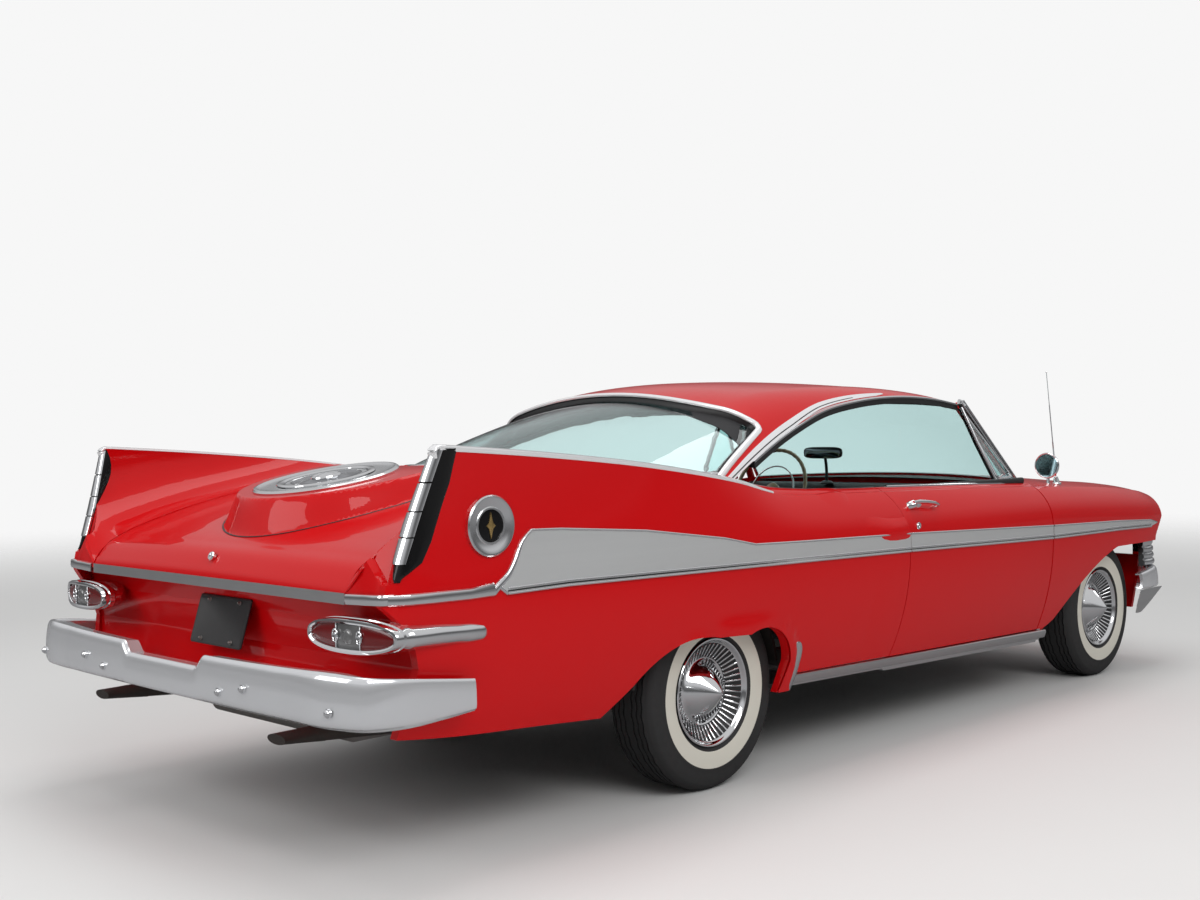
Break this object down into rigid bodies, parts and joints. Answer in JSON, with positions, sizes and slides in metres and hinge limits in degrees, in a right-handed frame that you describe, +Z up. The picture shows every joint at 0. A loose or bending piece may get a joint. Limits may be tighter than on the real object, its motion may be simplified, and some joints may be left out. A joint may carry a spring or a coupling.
{
  "type": "two-door hardtop coupe with tail fins",
  "caption": "Late-1950s two-door hardtop coupe with tall tail fins, bright side spears and whitewall tyres; it rolls and steers, and its doors, hood and deck lid open.",
  "frame": {"origin": "on the ground, under the middle of the overall length and width", "axes": "+X towards the nose, +Y to the car's left, +Z up"},
  "size_m": [5.3369, 2.0392, 1.5105],
  "materials": {
    "body_paint": "gloss",
    "chrome": "polished",
    "satin_aluminium": "satin",
    "glass_tint": "clear",
    "lamp_glass": "clear",
    "lamp_red": "clear",
    "frame_black": "satin",
    "trim_black": "gloss",
    "upholstery": "satin",
    "floor_cover": "matte",
    "cast_metal": "matte",
    "steel": "satin",
    "wheel_cover": "polished",
    "tyre": "matte",
    "wheel_rim_plastic": "gloss"
  },
  "bodies": {
    "car_body": {"quarter_left": "body_paint", "quarter_right": "body_paint", "fender_left": "body_paint", "fender_right": "body_paint", "sills": "body_paint", "roof": "body_paint", "windshield": "glass_tint", "rear_glass": "glass_tint", "rear_deck": "body_paint", "tail_panel": "body_paint", "front_panel": "body_paint", "grille": "satin_aluminium", "headlamp_bezels": "chrome", "headlamps": "lamp_glass", "fender_vents": "chrome", "front_bumper": "chrome", "rear_bumper": "chrome", "tail_lamp_bezels": "chrome", "tail_lamp_lenses": "lamp_red", "fin_trims": "chrome", "side_brightwork": "satin_aluminium", "frame": "frame_black", "floor_pan": "floor_cover", "plate_bracket": "trim_black", "inner_fenders": "frame_black", "fuel_tank": "steel", "cowl": "body_paint", "dashboard": "trim_black", "front_seat": "upholstery", "rear_seat": "upholstery", "engine": "cast_metal", "radiator": "frame_black", "rear_axle": "frame_black", "leaf_springs": "steel", "front_suspension": "frame_black", "exhaust": "steel", "steering_column": "trim_black", "antenna": "chrome", "mirror": "chrome"},
    "door_left": {"door_left": "body_paint", "door_spear_left": "satin_aluminium", "vent_window_left": "chrome"},
    "door_right": {"door_right": "body_paint", "door_spear_right": "satin_aluminium", "vent_window_right": "chrome"},
    "hood": {"hood": "body_paint"},
    "deck_lid": {"deck_lid": "body_paint", "deck_disc": "chrome"},
    "steer_left": {"knuckle_left": "cast_metal"},
    "steer_right": {"knuckle_right": "cast_metal"},
    "hand_wheel": {"steering_wheel": "wheel_rim_plastic"},
    "wheel_front_left": {"wheel_front_left": "wheel_cover", "tyre_front_left": "tyre"},
    "wheel_front_right": {"wheel_front_right": "wheel_cover", "tyre_front_right": "tyre"},
    "wheel_rear_left": {"wheel_rear_left": "wheel_cover", "tyre_rear_left": "tyre"},
    "wheel_rear_right": {"wheel_rear_right": "wheel_cover", "tyre_rear_right": "tyre"}
  },
  "joints": [
    {"name": "door_left_hinge", "type": "hinge", "parent": "car_body", "child": "door_left", "pos_m": [1.244, 0.986, 0.65], "axis": [0, 0, -1], "range_deg": [0, 65]},
    {"name": "door_right_hinge", "type": "hinge", "parent": "car_body", "child": "door_right", "pos_m": [1.244, -0.986, 0.65], "axis": [0, 0, 1], "range_deg": [0, 65]},
    {"name": "hood_hinge", "type": "hinge", "parent": "car_body", "child": "hood", "pos_m": [1.576, 0, 1.016], "axis": [0, -1, 0], "range_deg": [0, 55]},
    {"name": "deck_lid_hinge", "type": "hinge", "parent": "car_body", "child": "deck_lid", "pos_m": [-1.47, 0, 1.132], "axis": [0, 1, 0], "range_deg": [0, 50]},
    {"name": "steer_left", "type": "hinge", "parent": "car_body", "child": "steer_left", "pos_m": [1.96, 0.69, 0.34], "axis": [0, 0, 1], "range_deg": [-30, 30]},
    {"name": "steer_right", "type": "hinge", "parent": "car_body", "child": "steer_right", "pos_m": [1.96, -0.69, 0.34], "axis": [0, 0, 1], "range_deg": [-30, 30]},
    {"name": "hand_wheel_turn", "type": "hinge", "parent": "car_body", "child": "hand_wheel", "pos_m": [0.88, 0.36, 0.95], "axis": [-0.9272, 0, 0.3746], "range_deg": [-480, 480]},
    {"name": "wheel_front_left_spin", "type": "hinge", "parent": "steer_left", "child": "wheel_front_left", "pos_m": [1.96, 0.7735, 0.34], "axis": [0, 1, 0], "continuous": true},
    {"name": "wheel_front_right_spin", "type": "hinge", "parent": "steer_right", "child": "wheel_front_right", "pos_m": [1.96, -0.7735, 0.34], "axis": [0, 1, 0], "continuous": true},
    {"name": "wheel_rear_left_spin", "type": "hinge", "parent": "car_body", "child": "wheel_rear_left", "pos_m": [-1.037, 0.758, 0.34], "axis": [0, 1, 0], "continuous": true},
    {"name": "wheel_rear_right_spin", "type": "hinge", "parent": "car_body", "child": "wheel_rear_right", "pos_m": [-1.037, -0.758, 0.34], "axis": [0, 1, 0], "continuous": true}
  ],
  "couplings": [
    {"joint": "steer_right", "follows": "steer_left", "ratio": 1},
    {"joint": "hand_wheel_turn", "follows": "steer_left", "ratio": 16}
  ]
}
